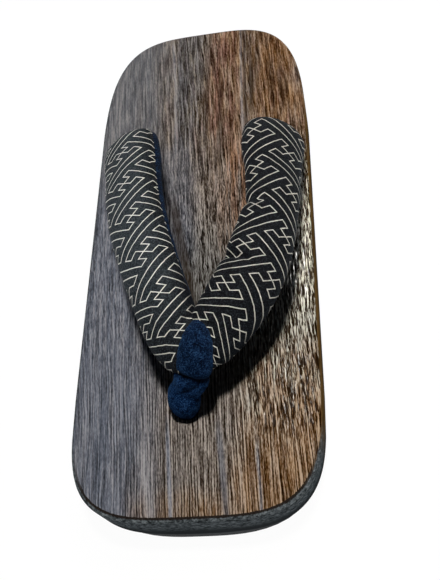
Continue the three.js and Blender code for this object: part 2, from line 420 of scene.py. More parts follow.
# Grain of the board, in the deck frame
SLANT = 0.065  # how far the grain leans to the big toe's side, from toe to heel
RELIEF = 0.11  # depth of the brushed grooves
RIM_FADE = 1.2  # the grooves run out this close to the edge, but not at the toe
NOTCH = 0.45  # how deep the grooves cut into the toe's edge
NOTCH_WIDTH = 1.5
TOP_SLACK = 0.02  # points this little below the top still belong to it
STREAK_FADE = 9
DRILL_ABOVE, DRILL_BELOW = 15, 70

STREAKS = [
    # x at y = 0, x at y = 250, half width, from y, to y, share of slate, share of dark beside it
    (-0.8, -16.7, 0.9, 168, 252, 0.95, 0.0),
    (24.2, 18.7, 0.8, 172, 252, 0.85, 0.0),
    (25.8, 20.3, 0.7, 172, 252, 0.0, 0.7),
    (-7.6, -27.0, 0.9, -5, 40, 0.9, 0.0),
    (-9.6, -29.0, 0.6, -5, 42, 0.0, 0.5),
    (27.2, 9.0, 0.8, -5, 32, 0.8, 0.0),
    (13.8, -12.0, 1.3, -5, 36, 0.75, 0.35),
    (-15.4, -50.0, 2.6, -5, 60, 0.6, 0.0),
    (-27.6, -84.0, 1.5, -5, 22, 0.7, 0.0),
    (-44.0, -44.0, 3.0, 20, 250, 0.5, 0.0),
    (-38.0, -40.0, 2.0, 150, 250, 0.4, 0.0),
    (-30.0, -36.0, 2.0, 30, 160, 0.5, 0.0),
    (1.0, 2.0, 1.2, 175, 235, 0.0, 0.45),
    (8.0, 9.0, 1.4, 165, 215, 0.0, 0.55),
    (-6.0, -5.0, 1.0, 180, 230, 0.35, 0.0),
    (24.0, 24.6, 1.1, 196, 228, 0.0, 0.75),
    (28.6, 26.6, 0.8, 214, 232, 0.0, 0.45),
    (45.5, 45.5, 2.4, 206, 224, 0.55, 0.0),
    (38.0, 39.0, 2.2, 204, 224, 0.0, 0.35),
    (33.0, 33.0, 1.2, 214, 228, 0.0, 0.40),
]


def grain(x, y):
    """Place across the wood's figure, 1 on a brushed ridge and 0 in a groove, and the growth bands."""
    u = x + SLANT * y + 3.4 * (noise(x / 45, y / 160, 1) - 0.5) + 1.2 * (noise(x / 10, y / 70, 2) - 0.5)
    u = u + 0.5 * (noise(x / 1.5, y / 9, 7) - 0.5)
    lines = noise(u / 0.6, y / 20, 3)
    dashes = noise(u / 0.5, y / 6, 4)
    short = noise(u / 0.45, y / 3, 5)
    broad = noise(u / 3.6, y / 80, 6)
    return u, smooth(0.30, 0.66, 0.34 * lines + 0.36 * dashes + 0.30 * short), broad


def streaks(x, y):
    """Shares of the slate and of the dark streaks."""
    slate, dark = np.zeros_like(x), np.zeros_like(x)
    wave = 0.8 * (noise(x / 20, y / 22, 21) - 0.5)
    for toe_x, heel_x, half, start, end, pale, deep in STREAKS:
        line = toe_x + (heel_x - toe_x) * y / LENGTH + wave
        inside = smooth(start - STREAK_FADE, start + STREAK_FADE, y)
        inside = inside * (1 - smooth(end - STREAK_FADE, end + STREAK_FADE, y))
        inside = inside * np.exp(-(((x - line) / half) ** 4))
        slate = np.maximum(slate, pale * inside)
        dark = np.maximum(dark, deep * inside)
    return slate, dark


def drill_points(hole):
    """A stepped round bar that bores a cord's hole and the recess for its knot."""
    x, y, depth = hole
    sides = DRILL_SIDES
    turn = np.arange(sides) * 2 * math.pi / sides
    rings = [
        (HOLE_RADIUS, DRILL_ABOVE),
        (HOLE_RADIUS, -depth),
        (RECESS_RADIUS, -depth),
        (RECESS_RADIUS, -DRILL_BELOW),
    ]
    points = [
        np.stack([x + r * np.cos(turn), y + r * np.sin(turn), np.full(sides, float(z))], 1)
        for r, z in rings
    ]
    last = (len(rings) - 1) * sides
    faces = [list(range(sides)), list(range(last + sides - 1, last - 1, -1))]
    for ring in range(len(rings) - 1):
        for k in range(sides):
            a, b = ring * sides + k, ring * sides + (k + 1) % sides
            faces.append([b, a, a + sides, b + sides])
    return to_world(np.concatenate(points)), faces


def loop_places():
    """Places u round the outline and side signs, one for each point of the edge of the top's grid.

    They go along the toe from left to right, up the right side, back along the heel and down the left side.
    """
    columns, rows = BOARD_COLUMNS, BOARD_ROWS
    bend = 2 / CORNER_POWER
    across = np.linspace(-1, 1, columns + 1)
    toe = np.arcsin(np.abs(across) ** (1 / bend)) / (math.pi / 2)
    heel = 2 + np.arccos(np.abs(across) ** (1 / bend)) / (math.pi / 2)
    side = 1 + np.linspace(0, 1, rows + 1)
    u = np.concatenate([toe, side[1:-1], heel[::-1], side[::-1][1:-1]])
    sign = np.where(across < 0, -1, 1)
    return u, np.concatenate([sign, np.ones(rows - 1), sign[::-1], -np.ones(rows - 1)])


def board_rings(u, sign):
    """Rings of points from the edge of the top over the rounding and down the wall to the foot."""
    flip = np.stack([sign, np.ones_like(sign), np.ones_like(sign)], 1)
    rings = []
    for degrees in range(0, 91, ROUNDING_STEP):
        turn = math.radians(degrees)
        inset, depth = EDGE_ROUND * (1 - math.sin(turn)), EDGE_ROUND * (1 - math.cos(turn))
        rings.append(top_ring(u, inset, depth, CORNER_POWER) * flip)
    wall = top_ring(u, 0, WALL_HEIGHT, WALL_POWER) * flip
    foot_x, foot_y = foot_outline(u)
    foot = np.stack([foot_x, foot_y, wood_bottom(foot_y)], 1) * flip
    edge = rings[-1]
    rings += [edge + (wall - edge) * share for share in np.linspace(0, 1, UPPER_RINGS + 1)[1:]]
    rings += [wall + (foot - wall) * share for share in np.linspace(0, 1, LOWER_RINGS + 1)[1:]]
    return rings


def top_column(j, start, end):
    """Points of one column of the top's grid, between its ends at the toe and the heel."""
    toe_half, heel_half = TOE_WIDTH / 2 - EDGE_ROUND, HEEL_WIDTH / 2 - EDGE_ROUND
    toe_middle, heel_middle = TOE_TIP + TOE_ROUND, LENGTH / 2 - HEEL_ROUND
    y = start + (end - start) * np.linspace(0, 1, BOARD_ROWS + 1)[1:-1]
    taper = np.clip((y - toe_middle) / (heel_middle - toe_middle), 0, 1)
    half = toe_half + (heel_half - toe_half) * taper
    x = half * (2 * j / BOARD_COLUMNS - 1)
    return np.stack([x, y, top_height(y)], 1)


def board_mesh():
    columns, rows = BOARD_COLUMNS, BOARD_ROWS
    u, sign = loop_places()
    rings = board_rings(u, sign)
    loop = len(u)
    points = [np.concatenate(rings)]
    faces = []
    for r in range(len(rings) - 1):
        for i in range(loop):
            a, b = r * loop + i, r * loop + (i + 1) % loop
            faces.append([a, a + loop, b + loop, b])
    toe = list(range(columns + 1))
    heel = [columns + rows + columns - j for j in range(columns + 1)]
    right = [columns + i for i in range(rows + 1)]
    left = [(loop - i) % loop for i in range(rows + 1)]
    # The underside: rungs across from the toe's tip to the heel's
    base = (len(rings) - 1) * loop
    middle = columns // 2
    near = toe[:middle][::-1] + left[1:] + heel[1:middle]
    far = toe[middle + 1 :] + right[1:] + heel[middle + 1 : -1][::-1]
    faces.append([base + toe[middle], base + near[0], base + far[0]])
    for k in range(len(near) - 1):
        faces.append([base + near[k], base + near[k + 1], base + far[k + 1], base + far[k]])
    faces.append([base + near[-1], base + heel[middle], base + far[-1]])
    # The top: columns that run the length of the board
    index = np.zeros((columns + 1, rows + 1), int)
    index[:, 0], index[:, -1] = toe, heel
    index[0], index[-1] = left, right
    at = len(rings) * loop
    for j in range(1, columns):
        points.append(top_column(j, rings[0][toe[j], 1], rings[0][heel[j], 1]))
        index[j, 1:-1] = np.arange(at, at + rows - 1)
        at += rows - 1
    for j in range(columns):
        for i in range(rows):
            faces.append([index[j, i], index[j + 1, i], index[j + 1, i + 1], index[j, i + 1]])
    return np.concatenate(points), faces


def bore(board):
    """Cuts the three holes and their recesses."""
    drills = []
    for number, hole in enumerate((FRONT_HOLE, INNER_HOLE, OUTER_HOLE)):
        drills.append(make_object(f"drill_{number}", *drill_points(hole)))
        cut = board.modifiers.new(f"hole_{number}", "BOOLEAN")
        cut.object = drills[-1]
        cut.operation = "DIFFERENCE"
        cut.solver = "EXACT"
    cut_board = board.evaluated_get(bpy.context.evaluated_depsgraph_get())
    bored = bpy.data.meshes.new_from_object(cut_board)
    board.modifiers.clear()
    board.data = bored
    for drill in drills:
        bpy.data.objects.remove(drill)


def rim_distances(points):
    """How far points of the top lie from the outline, seen from above."""
    tree = kdtree.KDTree(2 * RIM_POINTS)
    fine_x, fine_y = outline(even_places(RIM_POINTS), 0, CORNER_POWER)
    for i, (x, y) in enumerate(zip(fine_x, fine_y)):
        tree.insert((x, y, 0), 2 * i)
        tree.insert((-x, y, 0), 2 * i + 1)
    tree.balance()
    return [tree.find((x, y, 0))[2] for x, y, _ in points]


def brush(mesh):
    """Sinks the grooves of the grain, and stores what the colours of the wood need."""
    world = points_of(mesh)
    deck = to_deck(world)
    on_top = deck[:, 2] > -TOP_SLACK
    rim = np.zeros(len(world))
    rim[on_top] = rim_distances(world[on_top])
    x, y = deck[:, 0], deck[:, 1]
    depth = -deck[:, 2]
    figure, ridge, broad = grain(x, y)
    at_toe = 1 - smooth(14, 30, y)
    sink = RELIEF * (1 - ridge) * (1.5 - 0.6 * broad)
    fade = np.maximum(smooth(EDGE_ROUND, EDGE_ROUND + RIM_FADE, rim), at_toe)
    at_rim = (1 - smooth(EDGE_ROUND, EDGE_ROUND + NOTCH_WIDTH, rim)) * (1 - smooth(0.4, 2.2, depth))
    deck[:, 2] -= np.where(on_top, sink * fade, 0) + NOTCH * at_toe * (1 - ridge) * at_rim
    put_points(mesh, to_world(deck))
    slate, dark = streaks(x, y)
    layers = (figure, ridge, broad, slate, dark, depth, rim, x, y)
    for name, values in zip(WOOD_LAYERS, layers):
        give(mesh, name, values)
    mesh.polygons.foreach_set("use_smooth", [True] * len(mesh.polygons))


def make_board():
    board = make_object("board_wood", *board_mesh())
    bore(board)
    brush(board.data)
    board.data.materials.clear()
    board.data.materials.append(wood_material())
    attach(board, "root")
    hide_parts("wooden_board")


# Looks of the wood
WOOD_LAYERS = ("figure", "ridge", "broad", "slate", "dark", "depth", "rim", "across", "along")
COMB_PITCH = 1.15  # of the straight lines at the toe

# Zones of the wood in the deck frame: the ranges of y over which each fades in and out, the same for x,
# and how far its sides wander. None, or no entry, where it goes on
ZONES = {
    "toe": (None, (50, 110)),
    "heel": ((120, 200),),
    "back": ((165, 190),),
    "bare": ((58, 80),),
    "end": (None, (10, 34)),
    "tip": (None, (3, 16)),
    "warm_toe": (None, (30, 80)),
    "beside": (None, (138, 158)),
    # The big toe's side, where the slate-blue painted sky reflection lies
    "left": (None, None, None, (-36, 0), 26),
    "calm": (None, None, None, (-30, 0)),
    "right": ((22, 40), None, (20, 40)),
    "warm_heel": ((160, 200), None, (-8, 34), None, 40),
    # The strip on the little toes' side that carries the painted glints
    "worn": ((14, 44), (165, 190), (10, 34), None, 20),
    "margin": ((80, 105), (165, 185), (38, 44)),
    "between": ((84, 92), None, (-20, -14), (24, 32)),
    # Where the painted shade near the V's nose lies
    "hollow": ((84, 92), (104, 150), (-20, -14), (24, 32)),
    "cool": ((102, 122), (170, 195), None, (-8, 4), 8),
    "rust": ((98, 128), (165, 190), (4, 18), None, 14),
}
# The inner strap's edge over the wood inside the V: x at a place y, and how it leans with y
INNER_EDGE_X, INNER_EDGE_Y, INNER_EDGE_LEAN = -3.0, 100.0, -0.2

# Colours from the dark fibres to the light ones
BROWN = [
    (0.04, (0.007, 0.005, 0.004)),
    (0.26, (0.036, 0.025, 0.018)),
    (0.52, (0.120, 0.103, 0.090)),
    (0.96, (0.365, 0.330, 0.300)),
]
SLATE = [
    (0.04, (0.020, 0.022, 0.026)),
    (0.26, (0.047, 0.054, 0.069)),
    (0.52, (0.095, 0.107, 0.139)),
    (0.96, (0.236, 0.250, 0.290)),
]
AMBER = [
    (0.04, (0.016, 0.006, 0.001)),
    (0.26, (0.056, 0.025, 0.008)),
    (0.52, (0.150, 0.080, 0.032)),
    (0.96, (0.400, 0.290, 0.195)),
]
# Painted glints: pale dashes that stand in for the reflection on the brushed ridges
PAINTED_GLINTS = [
    (0.08, (0.012, 0.007, 0.003)),
    (0.36, (0.042, 0.027, 0.014)),
    (0.60, (0.110, 0.092, 0.067)),
    (0.92, (0.530, 0.525, 0.455)),
]
HUES = [
    (0.34, (0.96, 0.79, 0.76)),
    (0.48, (1.0, 0.94, 0.90)),
    (0.66, (1.03, 0.88, 0.70)),
]
WALL = [
    (0.36, (0.016, 0.019, 0.021)),
    (0.50, (0.074, 0.086, 0.093)),
    (0.64, (0.180, 0.204, 0.218)),
]
LOW_WALL = (0.028, 0.032, 0.035)
FLANK_DARK, FLANK_LIGHT = (0.060, 0.034, 0.012), (0.150, 0.085, 0.028)
WARM_SLATE = (1.24, 1.15, 1.00)
RUST_TINT = (1.06, 0.70, 0.48)
# Tint of the painted shade near the V's nose
V_SHADE_TINT = (0.58, 0.64, 0.68)
# Lightening of the painted glints beside the outer strap
MARGIN_GLINT_TINT = (1.5, 1.5, 1.45)
SOOT_TINT = (0.74, 0.82, 0.92)
MAROON_TINT = (0.96, 0.74, 0.70)
# Colour of the painted shadow of the inner strap on the wood inside the V
STRAP_SHADE = (0.020, 0.013, 0.008)
DARK_STREAK = (0.020, 0.013, 0.010)
CHARRED_EDGE, CHARRED_LIP = (0.018, 0.014, 0.012), (0.008, 0.007, 0.006)


def ragged(w, width):
    """Place across the board, wandering by a width."""
    return w.across + (w.patch - 0.5) * width


def zone(n, w, y_in=None, y_out=None, x_in=None, x_out=None, wander=0):
    x = ragged(w, wander) if wander else w.across
    parts = [n.step(*rise, value) for value, rise in ((x, x_in), (w.along, y_in)) if rise]
    parts += [1 - n.step(*fall, value) for value, fall in ((x, x_out), (w.along, y_out)) if fall]
    return math.prod(parts[1:], start=parts[0])


def wood_fields(n):
    """What the wood's colours are worked out from: stored layers, slow noises and zones."""
    w = SimpleNamespace(**{name: n.attribute(name) for name in WOOD_LAYERS})
    w.patch = n.noise(n.place((0.13, 0.022, 0.1)), 1.0, 2.0, 0.5)
    w.blot = n.noise(n.place((0.35, 0.06, 0.3)), 1.0, 2.0, 0.6)
    w.burn = n.noise(n.place((1.6, 0.4, 0.6)), 1.0, 1.0, 0.5)
    w.zone = SimpleNamespace(**{name: zone(n, w, *ranges) for name, ranges in ZONES.items()})
    wander = n.noise(n.place((0.30, 0.12, 0.30)), 1.0, 1.0, 0.5) - 0.5
    w.ripple = n.noise(n.place((0.75, 0.32, 0.75)), 1.0, 1.0, 0.5) - 0.5
    bend = (wander * 1.4 + w.ripple * 0.6) * (1 - 0.75 * w.zone.toe) * (1 - 0.7 * w.zone.calm)
    w.figure = w.figure + bend
    return w


def fibres(n, w, wide, length, detail):
    """Noise drawn out along the grain."""
    return n.noise(n.join(w.figure / wide, w.along / length, w.depth / wide), 1.0, detail, 0.6)


def wood_tone(n, w):
    """How light the wood is, fibre by fibre."""
    toe, heel, worn = w.zone.toe, w.zone.heel, w.zone.worn
    sway = n.noise(n.place((0.12, 0.016, 0.1)), 1.0, 2.0, 0.5) * 4.0
    comb = ((w.figure / COMB_PITCH + sway) * (2 * math.pi)).apply("SINE") * 0.5 + 0.5
    lines = n.step(0.34, 0.66, fibres(n, w, 0.55, 32.0, 2.0))
    dashes = n.step(0.36, 0.64, fibres(n, w, 0.48, 6.0, 2.0))
    w.dashes = dashes * (1 - heel) + n.step(0.34, 0.66, fibres(n, w, 0.80, 14.0, 3.0)) * heel
    w.hairs = n.step(0.34, 0.66, fibres(n, w, 0.42, 1.8, 1.0))
    pattern = lines * (0.26 + toe * 0.10) + w.dashes * (0.40 - toe * 0.24) + w.hairs * 0.16
    pattern = pattern + w.ridge * (0.18 - toe * 0.08) + comb * toe * 0.22
    fine = n.join((w.across + w.along * SLANT + w.ripple * 1.1) / 0.46, w.along / 6.5, w.depth)
    flecks = n.step(0.36, 0.68, n.noise(fine, 1.0, 2.0, 0.6))
    # On the glint strip the flecks are painted glints, with more contrast; on the big toe's side the
    # painted sky reflection lowers the contrast
    pattern = pattern * (1 - worn * 0.6) + (flecks * 0.75 + lines * 0.25) * worn * 0.6
    contrast = 1.75 - w.zone.left * 0.60 - heel * 0.50 + worn * 1.1
    tone = (pattern - 0.5) * contrast + 0.5 + (w.broad - 0.5) * 0.14
    return tone + (w.blot - 0.5) * heel * 0.5 + w.slate * 0.22


def inside_the_v(n, w, top):
    """Rust towards the little toes, and painted shade near the nose and along the inner strap."""
    reddish = n.step(0.30, 0.60, fibres(n, w, 1.6, 40.0, 2.0))
    top = n.tint(w.zone.rust * reddish, top, RUST_TINT)
    # Painted shade: the wood is darker and greyer near the V's nose
    top = n.tint(w.zone.hollow, top, V_SHADE_TINT)
    # Painted shadow: a dark band on the wood along the inner strap's edge inside the V
    gap = w.across - ((w.along - INNER_EDGE_Y) * INNER_EDGE_LEAN + INNER_EDGE_X)
    beside = n.step(-5, -1, gap) * (1 - n.step(0.5, 3.0, gap)) * w.zone.beside
    return n.mix(w.zone.between * beside * 0.75, top, STRAP_SHADE)


def warm_and_glints(n, w, top, amber, pale):
    """Amber at the toe and the heel, and painted glints on the strip on the little toes' side."""
    z = w.zone
    warm_toe = n.step(0, 30, ragged(w, 26) + w.along * -0.30) * z.warm_toe
    warm_toe = n.most(warm_toe, z.tip * (1 - z.left) * 0.6)
    warm = n.most(warm_toe, z.warm_heel * 0.75) * (1 - w.slate)
    bare = n.most(n.step(0.30, 0.52, 1 - w.blot), z.bare)
    # Painted glints: pale patches on the strip on the little toes' side
    top = n.mix(z.worn * bare * (1 - z.between), top, pale)
    # Painted glints: the strip beside the outer strap is lightened
    top = n.tint(z.margin, top, MARGIN_GLINT_TINT)
    rusty = n.most(warm, z.worn * 0.7 * (1 - z.bare))
    top = n.mix(rusty * n.step(0.40, 0.62, w.blot), top, amber)
    return n.mix(warm * 0.8, top, amber)


def heel_bands(n, w, top):
    """Sooty bands beside the pale stripes of the heel, and maroon patches between them."""
    back = w.zone.back * (1 - w.slate)
    wandering = ragged(w, 10)
    soot = n.step(-15, -12, w.across) * (1 - n.step(-6, 4, wandering))
    soot = n.most(soot, n.step(19.5, 21.5, w.across) * (1 - n.step(24, 31, wandering)))
    top = n.tint(back * soot, top, SOOT_TINT)
    maroon = n.step(0, 8, wandering) * (1 - n.step(14, 19, w.across)) * n.step(0.40, 0.58, 1 - w.blot)
    return n.tint(back * maroon, top, MAROON_TINT)


def wood_top(n, w):
    tone = wood_tone(n, w)
    brown, slate, amber, pale = (n.ramp(tone, *stops) for stops in (BROWN, SLATE, AMBER, PAINTED_GLINTS))
    slate = n.tint(w.zone.heel, slate, WARM_SLATE)
    vein = n.step(0.36, 0.62, fibres(n, w, 1.0, 60.0, 2.0))
    # On the big toe's side the slate-blue is a painted reflection of the sky; the cool band in the middle
    # is a slate tint
    sky_veil_and_cool_band = n.most(w.zone.left * (0.80 + 0.20 * vein), w.zone.cool * 0.75)
    top = n.mix(n.most(sky_veil_and_cool_band, w.slate), brown, slate)
    top = inside_the_v(n, w, top)
    top = warm_and_glints(n, w, top, amber, pale)
    hue = n.ramp(n.noise(n.join(w.figure / 1.6, w.along / 16.0, w.depth), 1.0, 2.0, 0.6), *HUES)
    top = n.tint((0.12 + w.zone.heel * 0.78) * (1 - w.zone.left * 0.9), top, hue)
    top = heel_bands(n, w, top)
    top = n.mix(w.dark, top, DARK_STREAK)
    char = (1 - n.step(1.6, 2.3, w.rim + w.burn * 1.8 - 0.9 + w.ridge * 0.6)) * w.zone.end
    return n.mix(char, top, CHARRED_EDGE)


def wood_side(n, w):
    mottle = n.noise(n.place((0.55, 0.55, 1.20)), 1.0, 4.0, 0.70)
    side = n.ramp(mottle, *WALL)
    side = n.mix(n.step(9.0, 16.0, w.depth + mottle * 5.0), side, LOW_WALL)
    flank = n.mix(n.step(0.3, 0.7, w.blot), FLANK_DARK, FLANK_LIGHT)
    side = n.mix(w.zone.right * (1 - n.step(9.0, 15.0, w.depth)), side, flank)
    lip = (1 - n.step(0.08, 0.38, w.depth + w.burn * 0.6 - 0.3)) * w.zone.end
    return n.mix(lip, side, CHARRED_LIP)


def wood_material():
    n = Nodes("burnt_wood")
    w = wood_fields(n)
    top, side = wood_top(n, w), wood_side(n, w)
    right, worn, margin = w.zone.right, w.zone.worn, w.zone.margin
    # On the little toes' side the top's colours run on over the rounded edge
    colour = n.mix(n.step(0.10 + right * 0.5, 0.40 + right * 0.8, w.depth), top, side)
    on_top = 1 - n.step(0.3, 2.0, w.depth)
    fleck = n.step(0.50, 0.85, w.dashes * 0.6 + w.hairs * 0.4)
    gloss = on_top * n.step(1.0, 2.4, w.rim) * fleck * (0.05 + 0.16 * worn + 0.80 * margin)
    height = w.ridge * 0.3 + w.dashes * 0.4 + w.hairs * 0.3
    return n.set(
        Base_Color=colour,
        Roughness=0.62 - 0.10 * w.ridge,
        Normal=n.bump(height, 0.20, 0.55),
        Specular_IOR_Level=0.0,
        Coat_Weight=gloss,
        Coat_Roughness=0.28,
    )


# Padded straps and thong
def catmull(rows, u, centripetal):
    """Points and tangents of the smooth curve through rows of numbers, at places u from 0 to 1."""
    rows = np.asarray(rows, float)
    count = len(rows)
    places = np.clip(np.asarray(u, float), 0, 1) * (count - 1)
    i = np.minimum(np.floor(places).astype(int), count - 2)
    w = (places - i)[:, None]
    p1, p2 = rows[i], rows[i + 1]
    p0 = np.where((i > 0)[:, None], rows[np.maximum(i - 1, 0)], 2 * rows[0] - rows[1])
    p3 = np.where((i + 2 < count)[:, None], rows[np.minimum(i + 2, count - 1)], 2 * rows[-1] - rows[-2])
    if centripetal:
        ends = ((p0, p1), (p1, p2), (p2, p3))
        d0, d1, d2 = (np.maximum(((b - a) ** 2).sum(1) ** 0.25, 1e-4)[:, None] for a, b in ends)
        t1 = ((p1 - p0) / d0 - (p2 - p0) / (d0 + d1) + (p2 - p1) / d1) * d1
        t2 = ((p2 - p1) / d1 - (p3 - p1) / (d1 + d2) + (p3 - p2) / d2) * d1
    else:
        t1, t2 = (p2 - p0) / 2, (p3 - p1) / 2
    c2 = 3 * (p2 - p1) - 2 * t1 - t2
    c3 = 2 * (p1 - p2) + t1 + t2
    return p1 + t1 * w + c2 * w**2 + c3 * w**3, t1 + 2 * c2 * w + 3 * c3 * w**2


def cord_rows(hole):
    x, y, d = hole
    return [
        (x, y, -d - 8, 8, 8, 0),
        (x, y, -d - 4, 16, 16, 0),
        (x, y, -d - 0.8, 9, 9, 0),
        (x, y, -d / 2, 9, 9, 0),
        (x, y, 0.5, 9, 9, 0),
    ]


CORD_ROWS = 5  # rows of a table that lie below the wood

# x, y, z, width, thickness, roll in degrees, from the hole to the V
INNER_STRAP = cord_rows(INNER_HOLE) + [
    (-33.3, 168.5, 5.5, 16, 13.8, -6),
    (-31.4, 167.5, 11.5, 24, 16.2, -12),
    (-28.2, 163.5, 17.5, 28, 16.8, -16),
    (-25, 152, 22, 29, 16.8, -19),
    (-21.9, 133, 26.5, 28.8, 16.2, -20),
    (-17.9, 114, 30, 27.4, 15.6, -20),
    (-12.4, 96, 32, 26, 15.6, -20),
    (-7.8, 83.5, 32.5, 25, 15.6, -19),
    (-4, 72, 31, 24.6, 15.6, -18),
    (-0.8, 62.5, 27.8, 22.5, 15, -16),
    (2, 56, 24.2, 17.5, 13.2, -12),
    (4, 52.6, 21.4, 9, 9.6, -6),
]
OUTER_STRAP = cord_rows(OUTER_HOLE) + [
    (33.7, 168.5, 5.5, 16, 13.8, 8),
    (35.8, 167, 11, 24.6, 16.2, 16),
    (36.8, 162, 16.5, 28.4, 16.8, 22),
    (36.9, 150, 21.5, 27.8, 16.2, 26),
    (37.5, 133, 26, 24.2, 16.2, 27),
    (37.4, 118, 29.5, 22.6, 16.2, 26),
    (35.4, 105, 31.8, 24.2, 15.6, 25),
    (32.4, 93, 32.8, 25.6, 15.6, 24),
    (27.6, 81.5, 32, 25.8, 15.6, 23),
    (21.2, 72, 30, 25.2, 15.6, 22),
    (14.2, 63.5, 27, 22.8, 15, 20),
    (9.4, 57, 24.2, 18, 13.2, 16),
    (7.2, 53, 21.4, 9, 9.6, 8),
]
THONG = cord_rows(FRONT_HOLE) + [
    (-2.4, 45, 5.5, 13, 11.4, 0),
    (-1.2, 46.2, 10.5, 13.4, 11, 0),
    (1, 48, 15, 12.2, 10, 0),
    (3.4, 48.6, 20, 14, 10, 0),
    (6.4, 51, 26.5, 14.8, 10.4, 0),
    (8, 55.4, 31.4, 14, 10.2, 0),
    (8.8, 60.6, 34, 10.8, 9, 0),
    (9, 65, 33, 7.4, 6.8, 0),
    (9, 67.5, 29, 5.5, 5, 0),
]


class Pad:
    """A padded bar swept along a table, with its own coordinates in millimetres.

    s runs along it from the hole's mouth, t round it from its crown, + towards the little toes.
    """

    def __init__(self, rows, step, sides, under):
        rows = np.array(rows, float)
        fine = np.linspace(0, 1, CURVE_STEPS + 1)
        line, _ = catmull(rows[:, :3], fine, True)
        length = np.concatenate([[0], np.cumsum(np.linalg.norm(np.diff(line, axis=0), axis=1))])
        mouth = np.interp((CORD_ROWS - 1) / (len(rows) - 1), fine, length)
        count = int(round(length[-1] / step))
        along = np.linspace(0, length[-1], count + 1)
        u = np.interp(along, length, fine)
        centre, tangent = catmull(rows[:, :3], u, True)
        size, _ = catmull(rows[:, 3:], u, False)
        tangent /= np.linalg.norm(tangent, axis=1)[:, None]
        chord = np.array([rows[0, 1] - rows[-1, 1], rows[-1, 0] - rows[0, 0], 0])
        chord *= 1 if chord[0] > 0 else -1
        side = chord - tangent * (tangent @ chord)[:, None]
        side /= np.linalg.norm(side, axis=1)[:, None]
        face = np.cross(tangent, side)
        roll = np.radians(size[:, 2])[:, None]
        wide = side * np.cos(roll) - face * np.sin(roll)
        tall = face * np.cos(roll) + side * np.sin(roll)
        # The ring starts at the middle of the underside and goes round by the +X side
        turn = -math.pi / 2 + np.arange(sides + 1) * 2 * math.pi / sides
        c, d = np.cos(turn), np.sin(turn)
        c[np.abs(c) < 1e-9] = 0
        w = size[:, :1] / 2 * c
        h = size[:, 1:2] / 2 * d * np.where(d < 0, under, 1)
        ring = centre[:, None] + w[..., None] * wide[:, None] + h[..., None] * tall[:, None]
        arc = np.linalg.norm(np.diff(ring, axis=1), axis=2)
        arc = np.concatenate([np.zeros((len(arc), 1)), np.cumsum(arc, axis=1)], 1)
        self.points = ring[:, :-1]
        self.t = arc[:, sides // 2][:, None] - arc
        self.s = (along - mouth)[:, None] + np.zeros_like(self.t)
        self.turn = turn
        self.sides, self.count = sides, count
        out = w[..., None] / np.maximum(size[:, :1, None], 1) ** 2 * wide[:, None]
        out = out + h[..., None] / np.maximum(size[:, 1:2, None], 1) ** 2 * tall[:, None]
        self.out = (out / np.linalg.norm(out, axis=2)[..., None])[:, :-1]

    def push(self, amount):
        """Moves the surface outwards by amount millimetres."""
        self.points = self.points + self.out * amount[:, : self.sides, None]

    def mesh(self, start=0):
        sides, count = self.sides, self.count
        points = self.points.reshape(-1, 3)
        faces, corners = [], []
        for i in range(count):
            for k in range(sides):
                n = (k + 1) % sides
                a, b = i * sides, (i + 1) * sides
                faces.append([start + a + k, start + a + n, start + b + n, start + b + k])
                corners += [(i, k), (i, k + 1), (i + 1, k + 1), (i + 1, k)]
        for i, flip in ((0, True), (count, False)):
            ring = list(range(start + i * sides, start + (i + 1) * sides))
            faces.append(ring[::-1] if flip else ring)
            corners += [(i, k) for k in (range(sides - 1, -1, -1) if flip else range(sides))]
        return points, faces, np.array(corners)


# Cloth of each strap: s and t of one column of the fret's crosses, one repeat apart, the cell at the
# first cross of the column, a cell's half width round the strap, and the pull of the cloth at the V:
# cells for a millimetre round the strap, t where it sets in, and s from where to where it grows
REPEAT = 10  # cells
FRET = {
    "inner": {
        "crosses": [
            (12, 0.4), (31.8, 0.2), (52, 0.4), (72, 2.4),
            (92.3, 3.1), (110.9, 3.5), (125.5, 5.4), (141, 7),
        ],
        "first": (0, -40),
        "cell": 3.15,
        "swirl": (-0.17, -2, 85, 112),
    },
    "outer": {
        "crosses": [(14, 3.4), (39.2, 4.2), (62.5, 6.2), (83, 7.4), (99.9, 7.9), (116.8, 6.8), (132, 6)],
        "first": (5, -35),
        "cell": 3.0,
        "swirl": (0.30, -2, 104, 128),
    },
}

# Where the velvet lining begins on either side of a strap
LINING = {
    # s, t of the edge on the big toe's side, t of the edge on the little toes' side
    "inner": [(0, -20, 14.5), (20, -22, 15.6), (60, -22, 15.6), (110, -22, 16.4), (140, -22, 21)],
    "outer": [(0, -20, 20), (140, -22, 22)],
}
CREASES = {
    # s and t of its two ends, depth, half width
    "inner": [(123.5, 3, 121, 14.5, 1.3, 1.6)],
    "outer": [
        (96.6, -15, 96.0, -4, 1.7, 1.1),
        (96.6, -17, 96.3, -9, 1.2, 3.0),
        (68.2, -16, 69.5, -8, 1.3, 2.2),
    ],
}
LINING_SEAM = (0.5, 0.9)  # depth and half width


def distance_to(s, t, s0, t0, s1, t1):
    ds, dt = s1 - s0, t1 - t0
    k = np.clip(((s - s0) * ds + (t - t0) * dt) / (ds * ds + dt * dt), 0, 1)
    return np.hypot(s - s0 - k * ds, t - t0 - k * dt)


